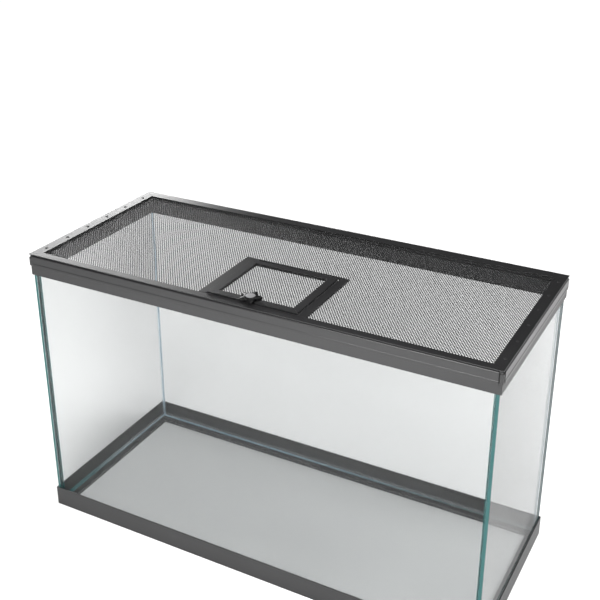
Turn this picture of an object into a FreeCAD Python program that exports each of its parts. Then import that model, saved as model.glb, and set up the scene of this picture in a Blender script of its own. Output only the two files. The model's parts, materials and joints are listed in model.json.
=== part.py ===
import FreeCAD, Part
import math
import os
from FreeCAD import Vector

os.makedirs("parts", exist_ok=True)

# A glass tank for small pets with a lift-off mesh screen cover.
# Millimetres. X runs along the length, -Y is the front, Z is up.
# The origin is the middle of the tank's footprint, on the surface it stands on.

# Tank
TANK_LENGTH = 768.0
TANK_DEPTH = 318.0
TANK_HEIGHT = 476.0
GLASS = 5.0
FRAME_WALL = 2.0
GLASS_FIT = 0.3

# Base frame: outer band with a ledge that the panes stand on
BASE_BAND_HEIGHT = 35.0
BASE_WEB = 3.0
BASE_FOOT = 3.0
BASE_LEDGE = 18.0

# Top frame: outer band, inner wall and a recessed ledge
TOP_BAND_HEIGHT = 33.0
TOP_WEB = 2.0
TOP_ROUND = 1.5
LEDGE_DROP = 6.0
LEDGE_WIDTH = 4.0
CORNER_PROUD = 1.2
CORNER_FIT = 0.8

# Silicone
SEAM_GAP = 0.6
SEAM_LEG = 4.0
SEAM_END = 0.5

# Screen cover: flat bars above the mesh, folded angles below it
SHEET = 1.0
MESH = 0.8
BAR = 1.2
COVER_FIT = 0.8
BAR_INSET = 1.2
MESH_INSET = 3.0
FRONT_RAIL = 14.2
SIDE_RAIL = 19.0
BACK_RAIL = 19.0
BEND_RADIUS = 2.5
SKIRT_DROP = 19.8
HEM_HEIGHT = 4.0
HEM_PROUD = 0.4
CORNER_NOTCH = 7.0
MITRE_GAP = 0.3

# Rivets on the two short rails
RIVET_COUNT = 6
RIVET_FIRST = 33.0
RIVET_SHANK = 1.3
RIVET_HEAD = 2.3
RIVET_HEAD_HEIGHT = 0.7
RIVET_BORE = 0.8

# Door opening, and the strips round three sides of it
DOOR_OFFSET = 12.0
OPENING_WIDTH = 150.6
OPENING_DEPTH = 134.4
SURROUND_SIDE = 12.7
SURROUND_BACK = 5.0

# Door
DOOR_GAP = 1.6
DOOR_BAR = 2.2
DOOR_CLAMP = 2.0
DOOR_BAR_WIDTH = 12.7
DOOR_BACK_WIDTH = 10.0
DOOR_MESH_INSET = 2.0
DOOR_SEAT_GAP = 0.2
STOP_LAP = 2.0
STOP_GAP = 1.0

# Hinge along the back of the door
BARREL_RADIUS = 1.7
BARREL_CLEARANCE = 0.4
PIN_RADIUS = 0.9
PIN_FIT = 0.05
FOLD_CLEARANCE = 0.1
HINGE_LEAF = 0.8
KNUCKLE_LENGTH = 14.0
KNUCKLE_INSET = 12.0
END_PLAY = 0.4
LEAF_BITE = 0.4

# Turn latch on the front bar of the door
LATCH_SHIFT = -5.0
SPINDLE_RADIUS = 2.0
SPINDLE_FIT = 0.08
WASHER = 0.5
WASHER_RADIUS = 6.0
TURN_GAP = 0.1
TONGUE = 1.2
TONGUE_WIDTH = 7.0
TONGUE_GAP = 0.4
TONGUE_CLEARANCE = 1.0
NUT = 1.2
NUT_RADIUS = 3.2
KNOB_HUB = 8.8
KNOB_LOBES = 5
KNOB_LOBE_RADIUS = 3.3
KNOB_LOBE_CENTRE = 14.4
KNOB_LOBE_LIFT = 1.0
KNOB_HEIGHT = 6.0
CAP_RADIUS = 7.2
CAP_HEIGHT = 0.9
CAP_RECESS = 0.5

# Heights that follow from the sizes above
PANE_FOOT = BASE_FOOT + BASE_WEB
FLOOR_TOP = PANE_FOOT + GLASS
BAND_FOOT = TANK_HEIGHT - TOP_BAND_HEIGHT
LEDGE_TOP = TANK_HEIGHT - LEDGE_DROP
MESH_FOOT = TANK_HEIGHT + SHEET
BAR_FOOT = MESH_FOOT + MESH
COVER_TOP = BAR_FOOT + BAR
SKIRT_FOOT = COVER_TOP - SKIRT_DROP
STOP_FOOT = TANK_HEIGHT - SHEET
DOOR_FOOT = TANK_HEIGHT + DOOR_SEAT_GAP
DOOR_MESH_FOOT = DOOR_FOOT + DOOR_CLAMP
DOOR_BAR_FOOT = DOOR_MESH_FOOT + MESH
DOOR_TOP = DOOR_BAR_FOOT + DOOR_BAR
HINGE_Z = (COVER_TOP + DOOR_TOP) / 2 + FOLD_CLEARANCE
TONGUE_TOP = STOP_FOOT - TONGUE_GAP
TONGUE_FOOT = TONGUE_TOP - TONGUE

# Plan rectangles that follow from the sizes above
COVER_LENGTH = TANK_LENGTH + 2 * (COVER_FIT + SHEET + HEM_PROUD)
COVER_DEPTH = TANK_DEPTH + 2 * (COVER_FIT + SHEET + HEM_PROUD)
PANE_EDGE = FRAME_WALL + GLASS_FIT
GLASS_FACE = PANE_EDGE + GLASS
RIM_WIDTH = GLASS_FACE + GLASS_FIT + FRAME_WALL

SIDES = ("front", "right", "back", "left")
SKIN = 1.0


def inset(rect, left, front, right, back):
    """Move the four edges of a plan rectangle inwards."""
    return (rect[0] + left, rect[1] + front, rect[2] - right, rect[3] - back)


def shrink(rect, amount):
    """Move every edge of a plan rectangle inwards by the same amount."""
    return inset(rect, amount, amount, amount, amount)


def centred(length, depth):
    """Plan rectangle about the origin, as left, front, right, back."""
    return (-length / 2, -depth / 2, length / 2, depth / 2)


TANK = centred(TANK_LENGTH, TANK_DEPTH)
COVER = centred(COVER_LENGTH, COVER_DEPTH)
COVER_INNER = inset(COVER, SIDE_RAIL, FRONT_RAIL, SIDE_RAIL, BACK_RAIL)
OPENING_FRONT = COVER_INNER[1]
OPENING_BACK = OPENING_FRONT + OPENING_DEPTH
OPENING = (DOOR_OFFSET - OPENING_WIDTH / 2, OPENING_FRONT, DOOR_OFFSET + OPENING_WIDTH / 2, OPENING_BACK)
HINGE_Y = OPENING_BACK - BARREL_RADIUS - BARREL_CLEARANCE
DOOR_BACK = HINGE_Y - BARREL_RADIUS - BARREL_CLEARANCE
DOOR = (OPENING[0] + DOOR_GAP, OPENING[1] + DOOR_GAP, OPENING[2] - DOOR_GAP, DOOR_BACK)
DOOR_INNER = inset(DOOR, DOOR_BAR_WIDTH, DOOR_BAR_WIDTH, DOOR_BAR_WIDTH, DOOR_BACK_WIDTH)
LATCH_X = DOOR_OFFSET + LATCH_SHIFT
LATCH_Y = DOOR[1] + DOOR_BAR_WIDTH / 2


def save(name, shape):
    """Write one node."""
    shape.exportStep("parts/%s.step" % name)


def slab(rect, foot, top):
    """Upright block on a plan rectangle."""
    size = (rect[2] - rect[0], rect[3] - rect[1], top - foot)
    return Part.makeBox(*size, Vector(rect[0], rect[1], foot))


def ring(outer, inner, foot, top):
    """Rectangular ring between two plan rectangles."""
    return slab(outer, foot, top).cut(slab(inner, foot - SKIN, top + SKIN))


def post(radius, x, y, foot, top):
    """Upright cylinder."""
    return Part.makeCylinder(radius, top - foot, Vector(x, y, foot))


def prism(points, foot, top):
    """Upright prism on a plan polygon."""
    outline = [Vector(x, y, foot) for x, y in points]
    face = Part.Face(Part.makePolygon(outline + outline[:1]))
    return face.extrude(Vector(0, 0, top - foot))


def side_plan(side, outer, inner, gap=0.0):
    """Mitred plan of one side of a rectangular frame, with half the gap cut from each end."""
    corners = {
        "front": ((0, 1), (2, 1)),
        "right": ((2, 1), (2, 3)),
        "back": ((2, 3), (0, 3)),
        "left": ((0, 3), (0, 1)),
    }[side]
    far = [Vector(outer[i], outer[j], 0) for i, j in corners]
    near = [Vector(inner[i], inner[j], 0) for i, j in corners]
    step = (far[1] - far[0]).normalize() * (gap / 2)
    points = (far[0] + step, far[1] - step, near[1] - step, near[0] + step)
    return [(p.x, p.y) for p in points]


def side_axes(side, rect):
    """Start corner, run direction, inward direction and length of one side of a rectangle."""
    start, run, inward, length = {
        "front": ((rect[0], rect[1]), (1, 0), (0, 1), rect[2] - rect[0]),
        "right": ((rect[2], rect[1]), (0, 1), (-1, 0), rect[3] - rect[1]),
        "back": ((rect[2], rect[3]), (-1, 0), (0, -1), rect[2] - rect[0]),
        "left": ((rect[0], rect[3]), (0, -1), (1, 0), rect[3] - rect[1]),
    }[side]
    return Vector(*start, 0), Vector(*run, 0), Vector(*inward, 0), length


def run_profile(side, rect, edges):
    """Extrude a profile along a side. An edge is a list of (inward, z) points: 2 a line, 3 an arc."""
    start, run, inward, length = side_axes(side, rect)
    curves = []
    for points in edges:
        ends = [start + inward * u + Vector(0, 0, z) for u, z in points]
        maker = Part.LineSegment if len(ends) == 2 else Part.Arc
        curves.append(maker(*ends).toShape())
    return Part.Face(Part.Wire(curves)).extrude(run * length)


def diagonal(centre_u, centre_z, radius, sign_u, sign_z):
    """Middle point of a quarter arc."""
    reach = radius * math.sqrt(0.5)
    return (centre_u + sign_u * reach, centre_z + sign_z * reach)


# Tank -------------------------------------------------------------------------------------------

def base_frame():
    band = ring(TANK, shrink(TANK, FRAME_WALL), 0, BASE_BAND_HEIGHT)
    ledge = ring(TANK, shrink(TANK, BASE_LEDGE), BASE_FOOT, PANE_FOOT)
    rib = ring(shrink(TANK, BASE_LEDGE - FRAME_WALL), shrink(TANK, BASE_LEDGE), 0, PANE_FOOT)
    frame = band.fuse([ledge, rib]).removeSplitter()
    save("base_frame", frame)


def corner_block(x_side, y_side):
    """Block that stands proud of a top frame corner, between the ends of the cover's skirts."""
    reach = CORNER_NOTCH - CORNER_FIT - COVER_FIT - SHEET - HEM_PROUD
    corner_x = TANK[0] if x_side < 0 else TANK[2]
    corner_y = TANK[1] if y_side < 0 else TANK[3]
    xs = sorted((corner_x + x_side * CORNER_PROUD, corner_x - x_side * reach))
    ys = sorted((corner_y + y_side * CORNER_PROUD, corner_y - y_side * reach))
    return slab((xs[0], ys[0], xs[1], ys[1]), SKIRT_FOOT, TANK_HEIGHT - BEND_RADIUS)


def top_frame():
    rim = shrink(TANK, RIM_WIDTH)
    wall = shrink(TANK, RIM_WIDTH - FRAME_WALL)
    block = slab(TANK, BAND_FOOT, TANK_HEIGHT)
    crest = [e for e in block.Edges if e.BoundBox.ZMin > BAND_FOOT + SKIN]
    block = block.makeFillet(TOP_ROUND, crest)
    mouth = slab(rim, BAND_FOOT - SKIN, TANK_HEIGHT + SKIN)
    channel = ring(shrink(TANK, FRAME_WALL), wall, BAND_FOOT - SKIN, TANK_HEIGHT - TOP_WEB)
    ledge = ring(wall, shrink(rim, LEDGE_WIDTH), LEDGE_TOP - TOP_WEB, LEDGE_TOP)
    well = slab(shrink(TANK, FRAME_WALL), BAND_FOOT, TANK_HEIGHT - TOP_WEB)
    corners = [corner_block(i, j).cut(well) for i in (-1, 1) for j in (-1, 1)]
    save("top_frame", block.cut([mouth, channel]).fuse([ledge] + corners).removeSplitter())


def panes():
    top = TANK_HEIGHT - TOP_WEB - GLASS_FIT
    outer = shrink(TANK, PANE_EDGE)
    inner = shrink(TANK, GLASS_FACE)
    ends = (inner[0] + SEAM_GAP, inner[2] - SEAM_GAP)
    save("glass_left", slab((outer[0], outer[1], inner[0], outer[3]), PANE_FOOT, top))
    save("glass_right", slab((inner[2], outer[1], outer[2], outer[3]), PANE_FOOT, top))
    save("glass_front", slab((ends[0], outer[1], ends[1], inner[1]), PANE_FOOT, top))
    save("glass_back", slab((ends[0], inner[3], ends[1], outer[3]), PANE_FOOT, top))
    save("glass_floor", slab(shrink(inner, SEAM_GAP), PANE_FOOT, FLOOR_TOP))


def corner_seam(x_side, y_side):
    """Silicone between two upright panes, with a hollow fillet on the inside."""
    inner = shrink(TANK, GLASS_FACE)
    outer = shrink(TANK, PANE_EDGE)
    x = inner[0] if x_side < 0 else inner[2]
    y = inner[1] if y_side < 0 else inner[3]
    y_out = outer[1] if y_side < 0 else outer[3]
    foot = FLOOR_TOP + SEAM_LEG
    top = BAND_FOOT - SEAM_END
    corner = Vector(x, y, foot)
    along_x = Vector(x - x_side * SEAM_LEG, y, foot)
    along_y = Vector(x, y - y_side * SEAM_LEG, foot)
    bow = SEAM_LEG * (1 - math.sqrt(0.5))
    middle = Vector(x - x_side * bow, y - y_side * bow, foot)
    edges = [
        Part.LineSegment(corner, along_x).toShape(),
        Part.Arc(along_x, middle, along_y).toShape(),
        Part.LineSegment(along_y, corner).toShape(),
    ]
    fillet = Part.Face(Part.Wire(edges)).extrude(Vector(0, 0, top - foot))
    xs = sorted((x, x - x_side * SEAM_GAP))
    ys = sorted((y, y_out))
    return fillet.fuse(slab((xs[0], ys[0], xs[1], ys[1]), foot, top)).removeSplitter()


def floor_seam(side):
    """Silicone round one side of the floor pane, mitred at its ends."""
    walls = shrink(TANK, GLASS_FACE)
    centre = (SEAM_LEG, FLOOR_TOP + SEAM_LEG)
    edges = [
        [(0, PANE_FOOT), (SEAM_GAP, PANE_FOOT)],
        [(SEAM_GAP, PANE_FOOT), (SEAM_GAP, FLOOR_TOP)],
        [(SEAM_GAP, FLOOR_TOP), (SEAM_LEG, FLOOR_TOP)],
        [(SEAM_LEG, FLOOR_TOP), diagonal(*centre, SEAM_LEG, -1, -1), (0, FLOOR_TOP + SEAM_LEG)],
        [(0, FLOOR_TOP + SEAM_LEG), (0, PANE_FOOT)],
    ]
    plan = prism(side_plan(side, walls, shrink(walls, SEAM_LEG)), 0, TANK_HEIGHT)
    return run_profile(side, walls, edges).common(plan)


def seams():
    names = {-1: "left", 1: "right"}
    for x_side in (-1, 1):
        save("seam_front_" + names[x_side], corner_seam(x_side, -1))
        save("seam_back_" + names[x_side], corner_seam(x_side, 1))
    for side in SIDES:
        save("seam_floor_" + side, floor_seam(side))


# Screen cover -----------------------------------------------------------------------------------

def rivet_places(side):
    """Centres of the rivets on one short rail."""
    x = COVER[0] + SIDE_RAIL / 2 if side == "left" else COVER[2] - SIDE_RAIL / 2
    pitch = (COVER_DEPTH - 2 * RIVET_FIRST) / (RIVET_COUNT - 1)
    return [(x, COVER[1] + RIVET_FIRST + i * pitch) for i in range(RIVET_COUNT)]


def rivet_holes():
    places = rivet_places("left") + rivet_places("right")
    return [post(RIVET_SHANK, x, y, SKIRT_FOOT, COVER_TOP + SKIN) for x, y in places]


def rivets(side):
    bodies = []
    for x, y in rivet_places(side):
        shank = post(RIVET_SHANK, x, y, TANK_HEIGHT, COVER_TOP)
        head = post(RIVET_HEAD, x, y, COVER_TOP, COVER_TOP + RIVET_HEAD_HEIGHT)
        rim = [e for e in head.Edges if e.BoundBox.ZMin > COVER_TOP + RIVET_HEAD_HEIGHT / 2]
        head = head.makeFillet(RIVET_HEAD_HEIGHT / 2, rim)
        bore = post(RIVET_BORE, x, y, BAR_FOOT, COVER_TOP + SKIN)
        bodies.append(shank.fuse(head).cut(bore).removeSplitter())
    return Part.makeCompound(bodies)


def cover_bar(side):
    plan = side_plan(side, shrink(COVER, BAR_INSET), COVER_INNER, MITRE_GAP)
    return prism(plan, BAR_FOOT, COVER_TOP).cut(rivet_holes())


def angle_edges(width):
    """Profile of a folded angle: a leg under the mesh, a bend, a skirt and a proud hem."""
    top = MESH_FOOT
    face = HEM_PROUD
    back = face + SHEET
    bend = face + BEND_RADIUS
    eye = top - BEND_RADIUS
    inner_bend = BEND_RADIUS - SHEET
    hem = SKIRT_FOOT + HEM_HEIGHT
    outline = [
        [(width, top), (bend, top)],
        [(bend, top), diagonal(bend, eye, BEND_RADIUS, -1, 1), (face, eye)],
        [(face, eye), (face, hem + HEM_PROUD)],
        [(face, hem + HEM_PROUD), (0, hem)],
        [(0, hem), (0, SKIRT_FOOT)],
        [(0, SKIRT_FOOT), (SHEET, SKIRT_FOOT)],
        [(SHEET, SKIRT_FOOT), (SHEET, hem)],
        [(SHEET, hem), (back, hem + HEM_PROUD)],
        [(back, hem + HEM_PROUD), (back, eye)],
        [(back, eye), diagonal(bend, eye, inner_bend, -1, 1), (bend, top - SHEET)],
        [(bend, top - SHEET), (width, top - SHEET)],
        [(width, top - SHEET), (width, top)],
    ]
    return outline


def cover_angle(side):
    width = {"front": FRONT_RAIL, "back": BACK_RAIL}.get(side, SIDE_RAIL)
    plan = side_plan(side, COVER, COVER_INNER, MITRE_GAP)
    angle = run_profile(side, COVER, angle_edges(width)).common(prism(plan, SKIRT_FOOT, COVER_TOP))
    start, run, inward, length = side_axes(side, COVER)
    notches = []
    for along in (0, length - CORNER_NOTCH):
        near = start + run * along - inward * SKIN
        far = start + run * (along + CORNER_NOTCH) + inward * (HEM_PROUD + BEND_RADIUS)
        xs = sorted((near.x, far.x))
        ys = sorted((near.y, far.y))
        notches.append(slab((xs[0], ys[0], xs[1], ys[1]), SKIRT_FOOT - SKIN, COVER_TOP))
    return angle.cut(notches + rivet_holes())


def surround_rect():
    return (OPENING[0] - SURROUND_SIDE, OPENING[1], OPENING[2] + SURROUND_SIDE, OPENING[3] + SURROUND_BACK)


def cover_mesh():
    """The screen: one sheet, cut away at the door opening."""
    sheet = slab(shrink(COVER, MESH_INSET), MESH_FOOT, BAR_FOOT)
    return sheet.cut([slab(OPENING, MESH_FOOT - SKIN, BAR_FOOT + SKIN)] + rivet_holes())


def surround_strips():
    """Strips above and below the mesh on the left, right and back of the opening."""
    for side in ("left", "right", "back"):
        plan = side_plan(side, surround_rect(), OPENING, MITRE_GAP)
        save("surround_" + side, prism(plan, BAR_FOOT, COVER_TOP))
        save("surround_clamp_" + side, prism(plan, TANK_HEIGHT, MESH_FOOT))


def door_stop():
    """Strip under the front rail that the front of the door rests on."""
    front = TANK[1] + RIM_WIDTH + STOP_GAP
    rect = (OPENING[0] + STOP_GAP, front, OPENING[2] - STOP_GAP, DOOR[1] + STOP_LAP)
    return slab(rect, STOP_FOOT, TANK_HEIGHT)


def cover():
    for side in SIDES:
        save("cover_bar_" + side, cover_bar(side))
        save("cover_angle_" + side, cover_angle(side))
    save("cover_mesh", cover_mesh())
    surround_strips()
    save("door_stop", door_stop())
    for side in ("left", "right"):
        save("rivets_" + side, rivets(side))


# Hinge ------------------------------------------------------------------------------------------

def along_x(radius, x0, x1):
    """Cylinder on the hinge line."""
    return Part.makeCylinder(radius, x1 - x0, Vector(x0, HINGE_Y, HINGE_Z), Vector(1, 0, 0))


def knuckle_span(side):
    """Ends of one fixed knuckle."""
    if side == "left":
        return DOOR[0] + KNUCKLE_INSET, DOOR[0] + KNUCKLE_INSET + KNUCKLE_LENGTH
    return DOOR[2] - KNUCKLE_INSET - KNUCKLE_LENGTH, DOOR[2] - KNUCKLE_INSET


def hinge_knuckle(side):
    """Knuckle with a thin leaf that lies on the back strip."""
    x0, x1 = knuckle_span(side)
    barrel_foot = HINGE_Z - BARREL_RADIUS
    web = slab((x0, HINGE_Y, x1, OPENING_BACK), barrel_foot, barrel_foot + HINGE_LEAF)
    leaf_top = COVER_TOP + LEAF_BITE
    leaf = slab((x0, OPENING_BACK, x1, OPENING_BACK + SURROUND_BACK - LEAF_BITE), COVER_TOP, leaf_top)
    link = slab((x0, OPENING_BACK - LEAF_BITE, x1, OPENING_BACK), barrel_foot, leaf_top)
    knuckle = along_x(BARREL_RADIUS, x0, x1).fuse([web, leaf, link])
    return knuckle.cut(along_x(PIN_RADIUS, x0, x1)).removeSplitter()


def door_barrel():
    """Rolled barrel on the back edge of the door."""
    x0 = knuckle_span("left")[1] + END_PLAY
    x1 = knuckle_span("right")[0] - END_PLAY
    foot = HINGE_Z - BARREL_RADIUS
    web = slab((x0, DOOR_BACK, x1, HINGE_Y), foot, foot + HINGE_LEAF + LEAF_BITE)
    bore = along_x(PIN_RADIUS + PIN_FIT, x0, x1)
    return along_x(BARREL_RADIUS, x0, x1).fuse(web).cut(bore).removeSplitter()


def hinge():
    for side in ("left", "right"):
        save("hinge_knuckle_" + side, hinge_knuckle(side))
    save("hinge_pin", along_x(PIN_RADIUS, knuckle_span("left")[0], knuckle_span("right")[1]))
    save("door_barrel", door_barrel())


# Door -------------------------------------------------------------------------------------------

def door():
    hole = post(SPINDLE_RADIUS + SPINDLE_FIT, LATCH_X, LATCH_Y, DOOR_FOOT - SKIN, DOOR_TOP + SKIN)
    for side in SIDES:
        plan = side_plan(side, DOOR, DOOR_INNER, MITRE_GAP)
        save("door_bar_" + side, prism(plan, DOOR_BAR_FOOT, DOOR_TOP).cut(hole))
        save("door_clamp_" + side, prism(plan, DOOR_FOOT, DOOR_MESH_FOOT).cut(hole))
    save("door_mesh", slab(shrink(DOOR, DOOR_MESH_INSET), DOOR_MESH_FOOT, DOOR_BAR_FOOT).cut(hole))


# Latch ------------------------------------------------------------------------------------------

def latch_knob(foot):
    """Lobed knob with a shallow seat for its cap."""
    top = foot + KNOB_HEIGHT
    hub = post(KNOB_HUB, LATCH_X, LATCH_Y, foot, top)
    lobes = []
    for i in range(KNOB_LOBES):
        turn = math.radians(90 + i * 360 / KNOB_LOBES)
        x = LATCH_X + KNOB_LOBE_CENTRE * math.cos(turn)
        y = LATCH_Y + KNOB_LOBE_CENTRE * math.sin(turn)
        lobes.append(post(KNOB_LOBE_RADIUS, x, y, foot + KNOB_LOBE_LIFT, top - KNOB_LOBE_LIFT))
        arm = Part.makeBox(KNOB_LOBE_CENTRE, 2 * KNOB_LOBE_RADIUS, KNOB_HEIGHT - 2 * KNOB_LOBE_LIFT)
        arm.translate(Vector(0, -KNOB_LOBE_RADIUS, 0))
        arm.rotate(Vector(0, 0, 0), Vector(0, 0, 1), math.degrees(turn))
        arm.translate(Vector(LATCH_X, LATCH_Y, foot + KNOB_LOBE_LIFT))
        lobes.append(arm)
    knob = hub.fuse(lobes).removeSplitter()
    seat = post(CAP_RADIUS, LATCH_X, LATCH_Y, top - CAP_RECESS, top + SKIN)
    socket = post(SPINDLE_RADIUS, LATCH_X, LATCH_Y, foot - SKIN, top - CAP_RECESS - SKIN)
    return knob.cut([seat, socket])


def latch_cap(top):
    """Bright disc, slightly crowned, in the top of the knob."""
    disc = post(CAP_RADIUS, LATCH_X, LATCH_Y, top - CAP_RECESS, top - CAP_RECESS + CAP_HEIGHT)
    rim = [e for e in disc.Edges if e.BoundBox.ZMin > top - CAP_RECESS + CAP_HEIGHT / 2]
    return disc.makeFillet(CAP_HEIGHT / 2, rim)


def latch_tongue():
    """Tongue that lies along the door and turns forwards under the stop."""
    reach = LATCH_Y - (TANK[1] + RIM_WIDTH + TONGUE_CLEARANCE)
    half = TONGUE_WIDTH / 2
    tip = LATCH_X + reach - half
    bar = slab((LATCH_X, LATCH_Y - half, tip, LATCH_Y + half), TONGUE_FOOT, TONGUE_TOP)
    ends = [post(half, x, LATCH_Y, TONGUE_FOOT, TONGUE_TOP) for x in (LATCH_X, tip)]
    hole = post(SPINDLE_RADIUS, LATCH_X, LATCH_Y, TONGUE_FOOT - SKIN, TONGUE_TOP + SKIN)
    return bar.fuse(ends).cut(hole).removeSplitter()


def latch_nut():
    corners = [math.radians(60 * i) for i in range(6)]
    plan = [(LATCH_X + NUT_RADIUS * math.cos(a), LATCH_Y + NUT_RADIUS * math.sin(a)) for a in corners]
    hole = post(SPINDLE_RADIUS, LATCH_X, LATCH_Y, TONGUE_FOOT - NUT - SKIN, TONGUE_FOOT + SKIN)
    return prism(plan, TONGUE_FOOT - NUT, TONGUE_FOOT).cut(hole)


def latch():
    washer_foot = DOOR_TOP + TURN_GAP
    knob_foot = washer_foot + WASHER
    knob_top = knob_foot + KNOB_HEIGHT
    washer = post(WASHER_RADIUS, LATCH_X, LATCH_Y, washer_foot, knob_foot)
    save("latch_washer", washer.cut(post(SPINDLE_RADIUS, LATCH_X, LATCH_Y, washer_foot, knob_foot)))
    spindle_top = knob_top - CAP_RECESS - SKIN
    save("latch_spindle", post(SPINDLE_RADIUS, LATCH_X, LATCH_Y, TONGUE_FOOT - NUT, spindle_top))
    save("latch_knob", latch_knob(knob_foot))
    save("latch_cap", latch_cap(knob_top))
    save("latch_tongue", latch_tongue())
    save("latch_nut", latch_nut())


base_frame()
top_frame()
panes()
seams()
cover()
hinge()
door()
latch()
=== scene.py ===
import json
import math

import bmesh
import bpy
from bpy.props import FloatProperty, FloatVectorProperty, IntProperty, PointerProperty
from mathutils import Matrix, Vector

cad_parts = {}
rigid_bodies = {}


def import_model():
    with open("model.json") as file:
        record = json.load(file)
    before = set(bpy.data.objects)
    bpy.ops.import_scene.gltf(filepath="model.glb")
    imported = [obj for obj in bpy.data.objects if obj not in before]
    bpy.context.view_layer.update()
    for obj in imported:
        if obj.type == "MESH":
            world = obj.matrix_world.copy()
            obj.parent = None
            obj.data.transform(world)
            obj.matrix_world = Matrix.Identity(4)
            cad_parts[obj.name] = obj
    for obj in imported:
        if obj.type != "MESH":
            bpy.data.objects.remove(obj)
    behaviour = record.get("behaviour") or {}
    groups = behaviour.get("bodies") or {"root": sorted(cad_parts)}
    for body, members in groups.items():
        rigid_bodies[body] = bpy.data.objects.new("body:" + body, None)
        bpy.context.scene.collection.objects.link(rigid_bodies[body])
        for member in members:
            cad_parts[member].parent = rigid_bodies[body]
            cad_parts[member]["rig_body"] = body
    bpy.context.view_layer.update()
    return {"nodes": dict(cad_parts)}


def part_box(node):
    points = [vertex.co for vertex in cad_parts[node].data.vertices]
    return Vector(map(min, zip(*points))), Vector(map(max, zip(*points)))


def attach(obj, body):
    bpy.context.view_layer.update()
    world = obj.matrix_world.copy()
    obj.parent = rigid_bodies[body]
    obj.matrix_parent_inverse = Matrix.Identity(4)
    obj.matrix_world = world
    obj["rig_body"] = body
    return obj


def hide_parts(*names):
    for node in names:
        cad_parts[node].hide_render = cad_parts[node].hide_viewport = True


bl_info = {
    "name": "Hamster Tank",
    "version": (1, 0, 0),
    "blender": (4, 5, 0),
    "location": "3D View > Sidebar > Hamster Tank",
    "description": "Builds a glass hamster tank with a lift-off screen cover and a feeding door",
    "category": "Add Mesh",
}

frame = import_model()

MM = 0.001
SIDES = ("front", "right", "back", "left")

# Clean-up and rounding of the copied frames, rails and panes
WELD = 1e-6
FLAT_ANGLE = math.radians(0.5)
SHARP_ANGLE = math.radians(40)

# Thickness of a strand as a share of the mesh node's
STRAND_DEPTH = 0.42

# Knob: how far the hub stands out past the disc, how far the lobes hang clear of the hub's ends,
# and how narrow the lobes are
HUB_MARGIN = 1.6 * MM
LOBE_LIFT = 1.0 * MM
LOBE_POWER = 1.25

# Where the cut edges and seams change from front to rear and from left to right, and with them their
# painted glow
REAR = (-0.12, 0.12)
RIGHT = (-0.3, 0.3)

# Studio: glow of the room, brightness behind the tank, and the camera
ROOM_GLOW = 0.07
BACKDROP = 0.95
FLOOR_RADIUS = 40.0
CAMERA_PLACE = (0.6729, -1.2374, 1.1169)
CAMERA_DIP = 23.24
CAMERA_TURN = 28.09
CAMERA_SHIFT = -0.0925


# Sizes and colours a user may change ------------------------------------------------------------

class TankSizes(bpy.types.PropertyGroup):
    frame_round: FloatProperty(
        name="Frame Round", description="Rounding of the moulded frames' edges",
        default=0.5 * MM, min=0.0, max=1.0 * MM, precision=5, subtype="DISTANCE", unit="LENGTH")
    pane_arris: FloatProperty(
        name="Pane Arris", description="Ground-off edge of each glass pane",
        default=0.4 * MM, min=0.0, max=1.0 * MM, precision=5, subtype="DISTANCE", unit="LENGTH")
    plastic: FloatVectorProperty(
        name="Frame Plastic", description="Colour of the moulded frames",
        default=(0.018, 0.018, 0.0185), size=3, min=0.0, max=1.0, subtype="COLOR")
    glass: FloatVectorProperty(
        name="Glass", description="Light that one face of a pane lets through",
        default=(0.938, 0.942, 0.942), size=3, min=0.0, max=1.0, subtype="COLOR")
    cut_edge: FloatVectorProperty(
        name="Cut Edge", description="Colour of the panes' cut edges at the front",
        default=(0.0015, 0.056, 0.055), size=3, min=0.0, max=1.0, subtype="COLOR")


class CoverSizes(bpy.types.PropertyGroup):
    rail_round: FloatProperty(
        name="Rail Round", description="Rounding of the sheet metal's edges",
        default=0.2 * MM, min=0.0, max=0.4 * MM, precision=5, subtype="DISTANCE", unit="LENGTH")
    coating: FloatVectorProperty(
        name="Coating", description="Colour of the coated rails",
        default=(0.013, 0.013, 0.0135), size=3, min=0.0, max=1.0, subtype="COLOR")
    diamond_width: FloatProperty(
        name="Diamond Width", description="Length of one diamond of the screen along the cover",
        default=4.13 * MM, min=2.0 * MM, max=12.0 * MM, precision=5, subtype="DISTANCE", unit="LENGTH")
    diamond_depth: FloatProperty(
        name="Diamond Depth", description="Length of one diamond of the screen across the cover",
        default=5.62 * MM, min=2.0 * MM, max=12.0 * MM, precision=5, subtype="DISTANCE", unit="LENGTH")
    strand: FloatProperty(
        name="Strand", description="Width of one strand of the screen",
        default=1.30 * MM, min=0.2 * MM, max=1.5 * MM, precision=5, subtype="DISTANCE", unit="LENGTH")
    wire: FloatVectorProperty(
        name="Screen", description="Colour of the screen",
        default=(0.010, 0.010, 0.0105), size=3, min=0.0, max=1.0, subtype="COLOR")


class LatchSizes(bpy.types.PropertyGroup):
    waist: FloatProperty(
        name="Knob Waist", description="Radius of the knob between its lobes",
        default=10.6 * MM, min=9.2 * MM, max=12.0 * MM, precision=5, subtype="DISTANCE", unit="LENGTH")
    lobes: IntProperty(name="Lobes", description="Number of lobes round the knob", default=5, min=3, max=9)
    knob: FloatVectorProperty(
        name="Knob", description="Colour of the knob",
        default=(0.004, 0.004, 0.0042), size=3, min=0.0, max=1.0, subtype="COLOR")


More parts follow.
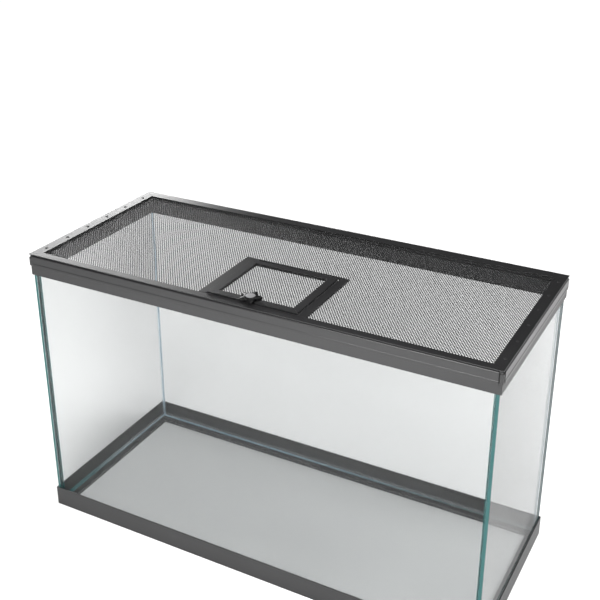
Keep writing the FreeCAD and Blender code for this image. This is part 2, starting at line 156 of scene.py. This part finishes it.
class StudioSettings(bpy.types.PropertyGroup):
    floor: FloatVectorProperty(
        name="Floor", description="Colour of the floor",
        default=(0.9, 0.9, 0.9), size=3, min=0.0, max=1.0, subtype="COLOR")
    lens: FloatProperty(
        name="Lens", description="Focal length of the camera",
        default=60.46, min=10.0, max=300.0, unit="CAMERA")
    overhead: FloatProperty(
        name="Overhead", description="Strength of the broad light from above", default=3.8, min=0.0)
    side_panel: FloatProperty(
        name="Side Panel", description="Power of the light panel behind the left end",
        default=92.0, min=0.0, unit="POWER")
    front_panel: FloatProperty(
        name="Front Panel", description="Power of the light panel in front",
        default=32.0, min=0.0, unit="POWER")
    rear_panel: FloatProperty(
        name="Rear Panel", description="Power of the panel lighting the floor behind the right end",
        default=2.6, min=0.0, unit="POWER")


# Shader maths -----------------------------------------------------------------------------------

class Signal:
    """An output socket that can stand in a sum. Each operation adds one Math node."""

    def __init__(self, finish, socket):
        self.finish = finish
        self.socket = socket

    def of(self, name):
        """Another output of the same node."""
        return Signal(self.finish, self.socket.node.outputs[name])

    def _math(self, operation, *values):
        return self.finish.node("Math", {"operation": operation}, dict(enumerate(values)))

    def __add__(self, other):
        return self._math("ADD", self, other)

    def __radd__(self, other):
        return self._math("ADD", other, self)

    def __sub__(self, other):
        return self._math("SUBTRACT", self, other)

    def __rsub__(self, other):
        return self._math("SUBTRACT", other, self)

    def __mul__(self, other):
        return self._math("MULTIPLY", self, other)

    def __rmul__(self, other):
        return self._math("MULTIPLY", other, self)

    def __pow__(self, other):
        return self._math("POWER", self, other)

    def __abs__(self):
        return self._math("ABSOLUTE", self)

    def larger(self, other):
        return self._math("MAXIMUM", self, other)

    def smaller(self, other):
        return self._math("MINIMUM", self, other)


class Finish:
    """One procedural material."""

    def __init__(self, name):
        self.material = bpy.data.materials.new(name)
        self.material.use_nodes = True
        self.tree = self.material.node_tree
        self.tree.nodes.clear()
        self.place = self.node("TexCoord", output="Object")

    def node(self, kind, settings=None, inputs=None, output=0):
        """Add a node. Its settings go in first, then the values or links of its sockets."""
        made = self.tree.nodes.new("ShaderNode" + kind)
        for name, value in (settings or {}).items():
            setattr(made, name, value)
        for name, value in (inputs or {}).items():
            if isinstance(value, Signal):
                self.tree.links.new(value.socket, made.inputs[name])
            else:
                made.inputs[name].default_value = value
        return Signal(self, made.outputs[output]) if made.outputs else None

    def noise(self, scale, detail=2.0, rough=0.5, place=None):
        """Cloudy pattern from 0 to 1."""
        inputs = {"Vector": place or self.place, "Scale": scale, "Detail": detail, "Roughness": rough}
        return self.node("TexNoise", None, inputs, "Fac")

    def stretch(self, x, y, z):
        """Object coordinates pulled out along an axis."""
        return self.node("Mapping", None, {"Vector": self.place, "Scale": (x, y, z)})

    def blend(self, a, b, factor):
        """Mix of two colours."""
        a, b = [v if isinstance(v, Signal) else (*v, 1.0) for v in (a, b)]
        return self.node("Mix", {"data_type": "RGBA"}, {0: factor, 6: a, 7: b}, 2)

    def ramp(self, value, low, high, start=0.0, end=1.0):
        """Smooth step of a value between two limits."""
        limits = {"Value": value, "From Min": low, "From Max": high, "To Min": start, "To Max": end}
        return self.node("MapRange", {"interpolation_type": "SMOOTHSTEP"}, limits)

    def bump(self, height, strength, distance):
        inputs = {"Height": height, "Strength": strength, "Distance": distance}
        return self.node("Bump", None, inputs)

    def axes(self, vector):
        parts = self.node("SeparateXYZ", None, {0: vector})
        return parts, parts.of("Y"), parts.of("Z")

    def solid(self, **sockets):
        """Principled shader. An underscore in a name stands for a space."""
        named = {name.replace("_", " "): value for name, value in sockets.items()}
        return self.node("BsdfPrincipled", None, named)

    def done(self, surface):
        self.node("OutputMaterial", None, {"Surface": surface})
        return self.material


def tint(colour, factor):
    """A colour made lighter or darker."""
    return tuple(min(1.0, part * factor) for part in colour)


def moulded_plastic(sizes):
    """Black moulded plastic with a fine grain and faint flow marks."""
    mat = Finish("moulded_plastic")
    flow = mat.noise(9.0, 3.0, 0.6, mat.stretch(0.35, 1.0, 1.6))
    grain = mat.noise(1400.0, 2.0)
    rubbed = mat.ramp(mat.noise(60.0, 4.0, 0.7), 0.55, 0.8)
    colour = mat.blend(tint(sizes.plastic, 0.8), tint(sizes.plastic, 1.35), flow)
    colour = mat.blend(colour, tint(sizes.plastic, 1.8), rubbed * 0.5)
    return mat.done(mat.solid(
        Base_Color=colour,
        IOR=1.42,
        Roughness=0.36 + 0.10 * flow + 0.05 * grain + 0.05 * rubbed,
        Normal=mat.bump(grain, 0.25, 0.00008)))


def coated_steel(sizes):
    """Satin black coating on steel, with a slight orange peel and a few dull patches."""
    mat = Finish("coated_steel")
    peel = mat.noise(520.0, 2.0, 0.45)
    dull = mat.noise(14.0, 3.0, 0.6)
    specks = mat.ramp(mat.noise(240.0, 2.0, 0.6), 0.68, 0.76)
    colour = mat.blend(tint(sizes.coating, 0.85), tint(sizes.coating, 1.3), dull)
    colour = mat.blend(colour, tint(sizes.coating, 2.2), specks * 0.35)
    return mat.done(mat.solid(
        Base_Color=colour,
        IOR=1.42,
        Roughness=0.27 + 0.09 * dull + 0.05 * specks,
        Normal=mat.bump(peel, 0.18, 0.00006)))


def screen_metal(sizes):
    """Black coated expanded metal, worn a little lighter in places."""
    mat = Finish("screen_metal")
    worn = mat.noise(30.0, 3.0, 0.6)
    spots = mat.ramp(mat.noise(700.0, 1.0), 0.55, 0.75)
    colour = mat.blend(tint(sizes.wire, 0.75), tint(sizes.wire, 1.3), worn)
    colour = mat.blend(colour, tint(sizes.wire, 2.0), spots * 0.5)
    return mat.done(mat.solid(
        Base_Color=colour, IOR=1.34, Roughness=0.40 + 0.12 * worn + 0.06 * spots,
        Normal=mat.bump(spots, 0.2, 0.00005)))


def rivet_metal():
    """Blackened rivets, dark in their bores."""
    mat = Finish("rivet_metal")
    spread = mat.noise(900.0, 2.0)
    colour = mat.blend((0.006, 0.006, 0.006), (0.016, 0.016, 0.017), spread)
    return mat.done(mat.solid(
        Base_Color=colour, Roughness=0.42 + 0.12 * spread, Normal=mat.bump(spread, 0.2, 0.00005)))


def knob_plastic(sizes):
    """Semi-gloss black plastic for the knob."""
    mat = Finish("knob_plastic")
    flow = mat.noise(90.0, 3.0, 0.6)
    grain = mat.noise(1500.0, 2.0)
    colour = mat.blend(tint(sizes.knob, 0.8), tint(sizes.knob, 1.4), flow)
    return mat.done(mat.solid(
        Base_Color=colour,
        IOR=1.22,
        Roughness=0.38 + 0.10 * flow + 0.04 * grain,
        Normal=mat.bump(grain, 0.12, 0.00005)))


def bright_disc(centre):
    """Bright metal turned in fine rings about the knob's axis."""
    mat = Finish("bright_disc")
    offset = mat.node("VectorMath", {"operation": "SUBTRACT"}, {0: mat.place, 1: tuple(centre)})
    flat = mat.node("VectorMath", {"operation": "MULTIPLY"}, {0: offset, 1: (1.0, 1.0, 0.0)})
    radius = mat.node("VectorMath", {"operation": "LENGTH"}, {0: flat}, "Value")
    rings = mat.node("TexNoise", {"noise_dimensions": "1D"}, {"W": radius, "Scale": 4200.0}, "Fac")
    smear = mat.noise(160.0, 3.0, 0.6)
    colour = mat.blend((0.17, 0.17, 0.175), (0.36, 0.36, 0.37), 0.5 * rings + 0.5 * smear)
    return mat.done(mat.solid(
        Base_Color=colour, Metallic=0.45, Roughness=0.28 + 0.14 * smear,
        Normal=mat.bump(rings, 0.12, 0.00004)))


def nylon_washer():
    """Dark nylon."""
    mat = Finish("nylon_washer")
    cloud = mat.noise(300.0, 3.0, 0.6)
    colour = mat.blend((0.03, 0.03, 0.03), (0.055, 0.055, 0.053), cloud)
    return mat.done(mat.solid(Base_Color=colour, Roughness=0.4 + 0.15 * cloud))


def plated_steel():
    """Zinc-plated steel of the tongue, nut and spindle, and of the hinge pin."""
    mat = Finish("plated_steel")
    spangle = mat.noise(420.0, 3.0, 0.7)
    stain = mat.ramp(mat.noise(110.0, 3.0, 0.6), 0.5, 0.75)
    colour = mat.blend((0.42, 0.43, 0.45), (0.62, 0.63, 0.64), spangle)
    colour = mat.blend(colour, (0.30, 0.29, 0.27), stain * 0.4)
    return mat.done(mat.solid(
        Base_Color=colour, Metallic=1.0, Roughness=0.30 + 0.16 * spangle + 0.1 * stain,
        Normal=mat.bump(spangle, 0.1, 0.00005)))


def clear_silicone():
    """Clear sealant, a little cloudy. It takes up the colour of the cut edges beside it; at the rear it
    carries a painted pale blue glow, which the upright seams also emit.
    """
    mat = Finish("clear_silicone")
    cloud = mat.noise(70.0, 3.0, 0.6)
    _, y, z = mat.axes(mat.place)
    rear = mat.ramp(y, *REAR)
    upright = mat.ramp(z, 0.015, 0.04)
    gloss = mat.node("LayerWeight", None, {"Blend": 0.5}, "Facing") ** 5.0
    front_colour = mat.blend((0.0, 0.085, 0.085), (0.002, 0.12, 0.12), cloud)
    # Painted glow: pale blue-white at the rear, emitted as light where the seams stand upright
    rear_glow_colour = mat.blend((0.50, 0.55, 0.58), (0.66, 0.71, 0.74), cloud)
    body = mat.solid(
        Base_Color=mat.blend(front_colour, rear_glow_colour, rear),
        Roughness=0.16 + 0.10 * cloud,
        Emission_Color=mat.blend((0.0, 0.0, 0.0), (0.52, 0.64, 0.70), rear * upright),
        Emission_Strength=0.6)
    clear = mat.node("BsdfTransparent", None, {"Color": (0.975, 0.985, 0.99, 1.0)})
    share = (0.66 + 0.10 * cloud - 0.58 * rear + 0.4 * gloss).smaller(1.0)
    return mat.done(mat.node("MixShader", None, {0: share, 1: clear, 2: body}))


def tank_glass(sizes, side):
    """Clear float glass whose cut edges show blue-green, with painted shade that greys each pane more
    towards one end, and a painted glow on the rear cut edges.
    """
    mat = Finish("tank_glass_" + side)
    x, y, z = mat.axes(mat.place)
    normal = mat.axes(mat.node("NewGeometry", output="Normal"))
    flat_axis = {"left": 0, "right": 0, "front": 1, "back": 1, "floor": 2}[side]
    cut = mat.ramp(abs(normal[flat_axis]), 0.45, 0.9, 1.0, 0.0)
    # Painted shade: each pane turns greyer towards the back of the left pane, the front of the right pane,
    # the bottom of the front and back panes, and the left of the floor
    painted_shade = {
        "left": mat.ramp(y, -0.16, 0.16),
        "right": mat.ramp(y, -0.16, 0.16, 1.0, 0.0),
        "front": mat.ramp(z, 0.05, 0.45, 0.4, 0.1),
        "back": mat.ramp(z, 0.05, 0.45, 1.0, 0.0),
        "floor": mat.ramp(x, -0.4, 0.4, 0.4, 0.2),
    }[side]
    wipe = mat.noise(5.0, 4.0, 0.6, mat.stretch(1.0, 1.0, 0.4))
    gloss = mat.node("LayerWeight", None, {"Blend": 0.5}, "Facing") ** 5.0
    rear = mat.ramp(y, *REAR)
    right = mat.ramp(x, *RIGHT)
    # Painted glow on the rear cut edges: bright blue towards the left and dark teal towards the right,
    # used both as base colour and as emission
    rear_edge_glow = mat.blend((0.42, 0.64, 0.80), (0.05, 0.08, 0.083), right)
    edge = mat.blend(sizes.cut_edge, rear_edge_glow, rear)
    edge = mat.blend(edge, tint(sizes.cut_edge, 2.4), 0.35 * mat.noise(260.0, 2.0))
    share = (0.03 + 0.12 * painted_shade + 0.03 * wipe + 0.6 * gloss).smaller(1.0)
    # The grey base colour is the colour of the painted shade; the cut edges keep their own colour
    body = mat.solid(
        Base_Color=mat.blend((0.13, 0.135, 0.135), edge, cut),
        Roughness=0.03 + 0.05 * wipe + 0.5 * cut,
        Emission_Color=mat.blend((0.0, 0.0, 0.0), rear_edge_glow, cut * rear),
        Emission_Strength=0.35)
    share = share.larger(cut * (1.0 - 0.55 * rear * (1.0 - right)))
    clear = mat.node("BsdfTransparent", None, {"Color": (*sizes.glass, 1.0)})
    return mat.done(mat.node("MixShader", None, {0: share, 1: clear, 2: body}))


def floor_paper(studio):
    """Plain pale floor."""
    mat = Finish("floor_paper")
    fibre = mat.noise(40.0, 3.0, 0.6)
    colour = mat.blend(tint(studio.floor, 0.99), tint(studio.floor, 1.01), fibre)
    return mat.done(mat.solid(Base_Color=colour, Roughness=0.8 + 0.1 * fibre, IOR=1.3))


# Pieces -----------------------------------------------------------------------------------------

def finish_piece(name, shape, material, smooth_below=35.0):
    """Turn a bmesh into an object, smooth except at edges sharper than an angle in degrees."""
    mesh = bpy.data.meshes.new(name)
    shape.normal_update()
    shape.to_mesh(mesh)
    shape.free()
    mesh.shade_smooth()
    mesh.set_sharp_from_angle(angle=math.radians(smooth_below))
    mesh.materials.append(material)
    piece = bpy.data.objects.new(name, mesh)
    bpy.context.scene.collection.objects.link(piece)
    return piece


def stand_in(piece, slot, *nodes):
    """Let a new piece stand for its CAD nodes and move with their body."""
    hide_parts(*nodes)
    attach(piece, frame["nodes"][nodes[0]]["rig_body"])
    return piece


def repaint(node, material):
    """Give a CAD node that stays its finish."""
    materials = frame["nodes"][node].data.materials
    materials.clear()
    materials.append(material)


def round_edges(node, slot, material, radius, segments=2):
    """Copy a CAD node, clean the copy's flat faces and round its sharp edges."""
    shape = bmesh.new()
    shape.from_mesh(frame["nodes"][node].data)
    bmesh.ops.remove_doubles(shape, verts=shape.verts, dist=WELD)
    bmesh.ops.dissolve_limit(
        shape, angle_limit=FLAT_ANGLE, use_dissolve_boundaries=False,
        verts=shape.verts, edges=shape.edges, delimit=set())
    sharp = [e for e in shape.edges if e.is_manifold and e.calc_face_angle() > SHARP_ANGLE]
    if radius > 0:
        bmesh.ops.bevel(
            shape, geom=sharp, offset=radius, offset_type="OFFSET", segments=segments,
            profile=0.5, affect="EDGES", clamp_overlap=True, material=-1)
    piece = finish_piece(node + "_rounded", shape, material)
    weighted = piece.modifiers.new("Even shading", "WEIGHTED_NORMAL")
    weighted.keep_sharp = True
    return stand_in(piece, slot, node)


def diamonds(name, node, material, sizes, keep, corner):
    """Expanded metal screen: a grid of diamonds with a strand along every edge.

    keep is (left, front, right, back) for the diamonds' centres. A tip of one diamond lies at corner.
    """
    low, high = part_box(node)
    level = (low.z + high.z) / 2
    half_x, half_y = sizes.diamond_width / 2, sizes.diamond_depth / 2
    across = ((keep[0] + keep[2]) / 2 - corner.x) / half_x
    along = ((keep[1] + keep[3]) / 2 - corner.y) / half_y
    first, second = round((across + along) / 2), round((across - along) / 2)
    reach = math.ceil((keep[2] - keep[0]) / (4 * half_x) + (keep[3] - keep[1]) / (4 * half_y)) + 2
    shape = bmesh.new()
    bmesh.ops.create_grid(
        shape, x_segments=2 * reach, y_segments=2 * reach, size=reach,
        matrix=Matrix.Translation((first, second, 0)))
    slant = Matrix((
        (half_x, half_x, 0, corner.x),
        (half_y, -half_y, 0, corner.y),
        (0, 0, 1, level),
        (0, 0, 0, 1)))
    bmesh.ops.transform(shape, matrix=slant, verts=shape.verts)
    outside = []
    for face in shape.faces:
        centre = face.calc_center_median()
        if not (keep[0] <= centre.x < keep[2] and keep[1] <= centre.y < keep[3]):
            outside.append(face)
    bmesh.ops.delete(shape, geom=outside, context="FACES")
    bmesh.ops.wireframe(
        shape, faces=shape.faces, thickness=sizes.strand, offset=0.0,
        use_replace=True, use_boundary=True, use_even_offset=True)
    flatten = (high.z - low.z) * STRAND_DEPTH / sizes.strand
    bmesh.ops.scale(
        shape, verts=shape.verts, vec=(1, 1, flatten), space=Matrix.Translation((0, 0, -level)))
    bmesh.ops.recalc_face_normals(shape, faces=shape.faces)
    return stand_in(finish_piece(name, shape, material, 180.0), "screen_mesh", node)


def loft(shape, segments, centre, rings):
    """Closed body of rings about an upright axis. A ring is (radius or radius rule, height)."""
    ring = bmesh.ops.create_circle(shape, segments=segments, radius=1.0)["verts"]
    edges = list({e for v in ring for e in v.link_edges})
    angles = {v: math.atan2(v.co.y, v.co.x) for v in ring}
    for number, (radius, height) in enumerate(rings):
        if number:
            made = bmesh.ops.extrude_edge_only(shape, edges=edges)["geom"]
            fresh = [g for g in made if isinstance(g, bmesh.types.BMVert)]
            angles = {v: math.atan2(v.co.y - centre.y, v.co.x - centre.x) for v in fresh}
            edges = [g for g in made if isinstance(g, bmesh.types.BMEdge)]
        for vert, angle in angles.items():
            reach = radius(angle) if callable(radius) else radius
            vert.co = (centre.x + reach * math.cos(angle), centre.y + reach * math.sin(angle), height)
    bmesh.ops.holes_fill(shape, edges=[e for e in shape.edges if e.is_boundary], sides=0)
    bmesh.ops.recalc_face_normals(shape, faces=shape.faces)


# Operators --------------------------------------------------------------------------------------

class TANK_OT_frames(bpy.types.Operator):
    """Make the moulded base frame and top frame"""
    bl_idname = "hamster_tank.frames"
    bl_label = "Moulded Frames"

    def execute(self, context):
        sizes = context.scene.tank_sizes
        plastic = moulded_plastic(sizes)
        for node in ("base_frame", "top_frame"):
            round_edges(node, "frame_plastic", plastic, sizes.frame_round)
        return {"FINISHED"}


class TANK_OT_panes(bpy.types.Operator):
    """Make the five glass panes with ground edges"""
    bl_idname = "hamster_tank.panes"
    bl_label = "Glass Panes"

    def execute(self, context):
        sizes = context.scene.tank_sizes
        for side in SIDES + ("floor",):
            glass = tank_glass(sizes, side)
            round_edges("glass_" + side, "tank_glass", glass, sizes.pane_arris, segments=1)
        return {"FINISHED"}


class TANK_OT_silicone(bpy.types.Operator):
    """Finish the clear silicone in the corners and round the floor pane"""
    bl_idname = "hamster_tank.silicone"
    bl_label = "Silicone Seams"

    def execute(self, context):
        sealant = clear_silicone()
        for node in frame["nodes"]:
            if node.startswith("seam_"):
                repaint(node, sealant)
        return {"FINISHED"}


class TANK_OT_rails(bpy.types.Operator):
    """Make the cover's flat bars, folded angles, door surround and door stop, and its rivets"""
    bl_idname = "hamster_tank.rails"
    bl_label = "Cover Rails"

    def execute(self, context):
        sizes = context.scene.cover_sizes
        steel = coated_steel(sizes)
        nodes = [part + side for part in ("cover_bar_", "cover_angle_") for side in SIDES]
        nodes += [part + side for part in ("surround_", "surround_clamp_") for side in SIDES[1:]]
        for node in nodes + ["door_stop"]:
            round_edges(node, "cover_metal", steel, sizes.rail_round)
        dark = rivet_metal()
        for side in ("left", "right"):
            repaint("rivets_" + side, dark)
        return {"FINISHED"}


class TANK_OT_screen(bpy.types.Operator):
    """Lay the cover's screen round the door opening"""
    bl_idname = "hamster_tank.screen"
    bl_label = "Cover Screen"

    def execute(self, context):
        sizes = context.scene.cover_sizes
        metal = screen_metal(sizes)
        low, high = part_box("cover_mesh")
        half_x, half_y = sizes.diamond_width / 2 + sizes.strand, sizes.diamond_depth / 2 + sizes.strand
        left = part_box("surround_left")[1].x
        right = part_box("surround_right")[0].x
        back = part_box("surround_back")[0].y
        corner = Vector(((left + right) / 2, back + sizes.strand))
        depth = (low.y + half_y, high.y - half_y)
        plan = {
            "screen_left": (low.x + half_x, depth[0], left - half_x, depth[1]),
            "screen_middle": (left - half_x, back + half_y, right + half_x, depth[1]),
            "screen_right": (right + half_x, depth[0], high.x - half_x, depth[1]),
        }
        for name, keep in plan.items():
            diamonds(name, "cover_mesh", metal, sizes, keep, corner)
        return {"FINISHED"}


class TANK_OT_door(bpy.types.Operator):
    """Make the feeding door: its mitred bars, its clamp strips and its screen"""
    bl_idname = "hamster_tank.door"
    bl_label = "Feeding Door"

    def execute(self, context):
        sizes = context.scene.cover_sizes
        steel = coated_steel(sizes)
        for part in ("door_bar_", "door_clamp_"):
            for side in SIDES:
                round_edges(part + side, "cover_metal", steel, sizes.rail_round)
        low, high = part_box("door_mesh")
        half_x, half_y = sizes.diamond_width / 2 + sizes.strand, sizes.diamond_depth / 2 + sizes.strand
        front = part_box("latch_spindle")[1].y
        keep = (low.x + half_x, front + half_y, high.x - half_x, high.y - half_y)
        corner = Vector(((low.x + high.x) / 2, front + sizes.strand))
        diamonds("door_screen", "door_mesh", screen_metal(sizes), sizes, keep, corner)
        return {"FINISHED"}


class TANK_OT_hinge(bpy.types.Operator):
    """Make the hinge: the door's barrel, the cover's two knuckles and the pin"""
    bl_idname = "hamster_tank.hinge"
    bl_label = "Door Hinge"

    def execute(self, context):
        sizes = context.scene.cover_sizes
        steel = coated_steel(sizes)
        for node in ("door_barrel", "hinge_knuckle_left", "hinge_knuckle_right"):
            round_edges(node, "cover_metal", steel, sizes.rail_round * 0.5)
        repaint("hinge_pin", plated_steel())
        return {"FINISHED"}


class TANK_OT_knob(bpy.types.Operator):
    """Make the lobed knob and the bright disc in its top"""
    bl_idname = "hamster_tank.knob"
    bl_label = "Latch Knob"

    def execute(self, context):
        sizes = context.scene.latch_sizes
        low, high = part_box("latch_knob")
        disc_low, disc_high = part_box("latch_cap")
        axis = (disc_low + disc_high) / 2
        tip = high.y - axis.y
        disc = (disc_high.x - disc_low.x) / 2
        hub = disc + HUB_MARGIN
        lift = LOBE_LIFT
        foot, top = low.z, high.z
        seat = disc_low.z

        def lobed(back):
            def reach(angle):
                swell = (1 + math.cos(sizes.lobes * (angle - math.pi / 2))) / 2
                return sizes.waist + (tip - sizes.waist) * swell ** LOBE_POWER - back
            return reach

        body = bmesh.new()
        loft(body, 160, axis, [
            (hub - 0.6 * MM, foot), (hub - 0.2 * MM, foot + 0.2 * MM), (hub, foot + lift - 0.1 * MM),
            (lobed(1.2 * MM), foot + lift), (lobed(0.5 * MM), foot + lift + 0.2 * MM),
            (lobed(0.1 * MM), foot + lift + 0.7 * MM), (lobed(0.0), foot + lift + 1.3 * MM),
            (lobed(0.05 * MM), top - lift - 1.5 * MM), (lobed(0.3 * MM), top - lift - 0.8 * MM),
            (lobed(0.8 * MM), top - lift - 0.3 * MM), (lobed(1.5 * MM), top - lift),
            (hub + 0.6 * MM, top - lift + 0.1 * MM), (hub + 0.15 * MM, top - 0.6 * MM),
            (hub - 0.15 * MM, top - 0.2 * MM), (hub - 0.5 * MM, top),
            (disc + 0.3 * MM, top), (disc + 0.1 * MM, top - 0.1 * MM),
            (disc + 0.05 * MM, seat - 0.02 * MM)])
        piece = finish_piece("latch_knob_lobed", body, knob_plastic(sizes), 50.0)
        stand_in(piece, "knob_plastic", "latch_knob")

        crown = bmesh.new()
        edge = disc - 0.05 * MM
        rise = disc_high.z - 0.3 * MM
        loft(crown, 96, axis, [
            (edge - 0.1 * MM, seat), (edge, seat + 0.1 * MM), (edge, rise - 0.15 * MM),
            (edge - 0.1 * MM, rise), (edge - 0.5 * MM, rise + 0.06 * MM),
            (edge * 0.75, rise + 0.17 * MM), (edge * 0.5, rise + 0.25 * MM),
            (edge * 0.25, rise + 0.29 * MM), (edge * 0.06, disc_high.z)])
        piece = finish_piece("latch_cap_crowned", crown, bright_disc(axis), 40.0)
        stand_in(piece, "latch_cap_chrome", "latch_cap")
        return {"FINISHED"}


class TANK_OT_latch(bpy.types.Operator):
    """Make the latch under the knob: washer, spindle, tongue and nut"""
    bl_idname = "hamster_tank.latch"
    bl_label = "Latch Works"

    def execute(self, context):
        steel = plated_steel()
        round_edges("latch_washer", "washer_plastic", nylon_washer(), 0.1 * MM)
        for node in ("latch_spindle", "latch_tongue", "latch_nut"):
            round_edges(node, "latch_steel", steel, 0.2 * MM)
        return {"FINISHED"}


class TANK_OT_stage(bpy.types.Operator):
    """Lay the pale floor and set the soft light and the camera"""
    bl_idname = "hamster_tank.stage"
    bl_label = "Studio"

    def light(self, name, kind, place, aim, energy, size):
        """Add a lamp that the camera doesn't see. A sun's size is its spread in degrees."""
        lamp = bpy.data.lights.new(name, kind)
        lamp.energy = energy
        if kind == "AREA":
            lamp.shape = "RECTANGLE"
            lamp.size, lamp.size_y = size
        else:
            lamp.angle = math.radians(size[0])
        holder = bpy.data.objects.new(name, lamp)
        holder.location = place
        holder.rotation_euler = (Vector(aim) - Vector(place)).to_track_quat("-Z", "Y").to_euler()
        holder.visible_camera = False
        bpy.context.scene.collection.objects.link(holder)
        return holder

    def execute(self, context):
        scene = context.scene
        studio = scene.studio_settings
        ground = bmesh.new()
        bmesh.ops.create_circle(ground, cap_ends=True, radius=FLOOR_RADIUS, segments=96)
        floor = finish_piece("studio_floor", ground, floor_paper(studio))

        world = bpy.data.worlds.new("studio_room")
        world.use_nodes = True
        tree = world.node_tree
        tree.nodes.clear()
        seen = tree.nodes.new("ShaderNodeBackground")
        seen.inputs["Color"].default_value = (BACKDROP, BACKDROP, BACKDROP, 1.0)
        room = tree.nodes.new("ShaderNodeBackground")
        room.inputs["Color"].default_value = (ROOM_GLOW, ROOM_GLOW, ROOM_GLOW, 1.0)
        path = tree.nodes.new("ShaderNodeLightPath")
        mix = tree.nodes.new("ShaderNodeMixShader")
        end = tree.nodes.new("ShaderNodeOutputWorld")
        tree.links.new(path.outputs["Is Camera Ray"], mix.inputs[0])
        tree.links.new(room.outputs[0], mix.inputs[1])
        tree.links.new(seen.outputs[0], mix.inputs[2])
        tree.links.new(mix.outputs[0], end.inputs[0])
        scene.world = world
        scene.view_settings.view_transform = "Standard"

        self.light("overhead", "SUN", (0.9, 0.5, 3.0), (0.0, 0.0, 0.0),
                   studio.overhead, (40.0, 0.0))
        self.light("front_panel", "AREA", (0.05, -1.0, 0.95), (0.05, -1.0, 0.0),
                   studio.front_panel, (0.6, 0.3))
        side = self.light("side_panel", "AREA", (-2.7, 1.92, 0.95), (-0.3, 0.0, 0.45),
                          studio.side_panel, (2.0, 0.9))
        side.visible_diffuse = False
        rear = self.light("rear_panel", "AREA", (0.62, 0.78, 0.5), (0.62, 0.78, 0.0),
                          studio.rear_panel, (0.5, 0.7))
        rear.visible_glossy = False

        lens = bpy.data.cameras.new("studio_camera")
        lens.lens = studio.lens
        lens.sensor_width = 36.0
        lens.shift_y = CAMERA_SHIFT
        lens.clip_start, lens.clip_end = 0.05, 100.0
        camera = bpy.data.objects.new("studio_camera", lens)
        camera.location = CAMERA_PLACE
        camera.rotation_euler = (math.radians(90 - CAMERA_DIP), 0.0, math.radians(CAMERA_TURN))
        scene.collection.objects.link(camera)
        scene.camera = camera
        return {"FINISHED"}


class TANK_PT_build(bpy.types.Panel):
    """Lists the steps that build the tank"""
    bl_idname = "TANK_PT_build"
    bl_label = "Hamster Tank"
    bl_space_type = "VIEW_3D"
    bl_region_type = "UI"
    bl_category = "Hamster Tank"

    def draw(self, context):
        for step in STEPS:
            self.layout.operator(step.bl_idname)
        for group in GROUPS:
            settings = getattr(context.scene, group)
            box = self.layout.box()
            for name in settings.__annotations__:
                box.prop(settings, name)


GROUPS = {
    "tank_sizes": TankSizes,
    "cover_sizes": CoverSizes,
    "latch_sizes": LatchSizes,
    "studio_settings": StudioSettings,
}
STEPS = (
    TANK_OT_frames,
    TANK_OT_panes,
    TANK_OT_silicone,
    TANK_OT_rails,
    TANK_OT_screen,
    TANK_OT_door,
    TANK_OT_hinge,
    TANK_OT_knob,
    TANK_OT_latch,
    TANK_OT_stage,
)


def register():
    for group in GROUPS.values():
        bpy.utils.register_class(group)
    for name, group in GROUPS.items():
        setattr(bpy.types.Scene, name, PointerProperty(type=group))
    for step in STEPS + (TANK_PT_build,):
        bpy.utils.register_class(step)


def unregister():
    for step in reversed(STEPS + (TANK_PT_build,)):
        bpy.utils.unregister_class(step)
    for name, group in GROUPS.items():
        delattr(bpy.types.Scene, name)
        bpy.utils.unregister_class(group)


def main():
    register()
    bpy.ops.hamster_tank.frames()
    bpy.ops.hamster_tank.panes()
    bpy.ops.hamster_tank.silicone()
    bpy.ops.hamster_tank.rails()
    bpy.ops.hamster_tank.screen()
    bpy.ops.hamster_tank.door()
    bpy.ops.hamster_tank.hinge()
    bpy.ops.hamster_tank.knob()
    bpy.ops.hamster_tank.latch()
    bpy.ops.hamster_tank.stage()


if __name__ == "__main__":
    main()
